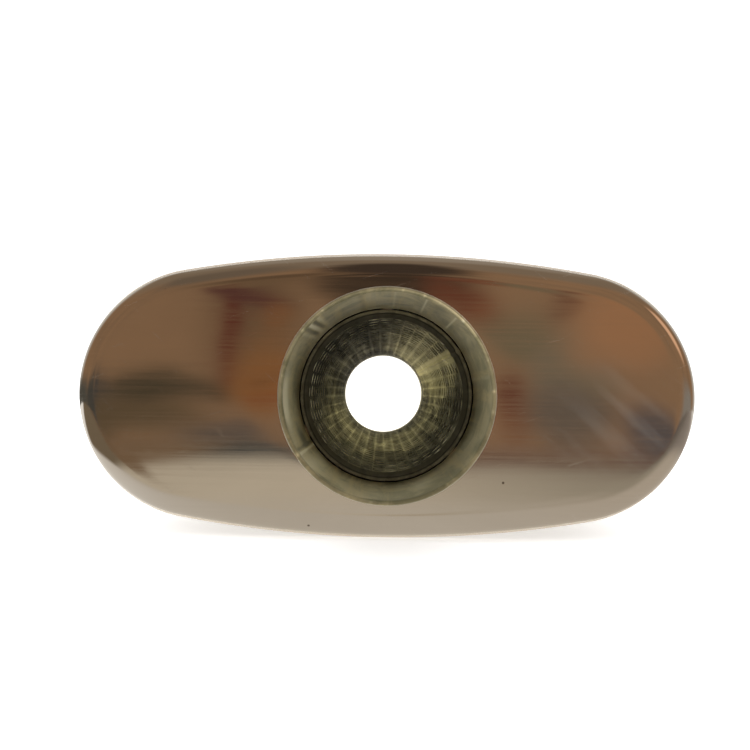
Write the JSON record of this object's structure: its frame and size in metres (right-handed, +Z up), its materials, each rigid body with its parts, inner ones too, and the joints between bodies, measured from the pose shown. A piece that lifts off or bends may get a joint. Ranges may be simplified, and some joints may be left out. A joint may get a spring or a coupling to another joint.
{
  "type": "muffler",
  "caption": "Straight-through oval exhaust muffler of polished stainless sheet, with a centred neck at each end and a perforated core.",
  "frame": {"origin": "under the middle of the body, on the surface that its lower crown rests on", "axes": "+Y along the gas path from the inlet neck to the outlet neck, +X across the body's width, +Z up"},
  "size_m": [0.2326, 0.45, 0.107],
  "materials": {
    "polished_sheet": "polished stainless sheet with fine hairlines",
    "tube_steel": "satin stainless tube",
    "weld": "rippled weld bead, lightly heat tinted",
    "steel_wool": "dark steel wool",
    "glass_fibre": "needled glass fibre mat"
  },
  "bodies": {
    "root": {"body_shell": "polished_sheet", "shell_seam_weld": "weld", "front_end_cap": "polished_sheet", "rear_end_cap": "polished_sheet", "front_cap_weld": "weld", "rear_cap_weld": "weld", "inlet_neck": "tube_steel", "outlet_neck": "tube_steel", "inlet_neck_weld": "weld", "outlet_neck_weld": "weld", "inlet_neck_seam": "weld", "outlet_neck_seam": "weld", "perforated_core": "tube_steel", "core_seam_weld": "weld", "inlet_core_tacks": "weld", "outlet_core_tacks": "weld", "steel_wool_sleeve": "steel_wool", "core_fibre_wrap": "glass_fibre", "left_fibre_pad": "glass_fibre", "right_fibre_pad": "glass_fibre"}
  },
  "joints": []
}
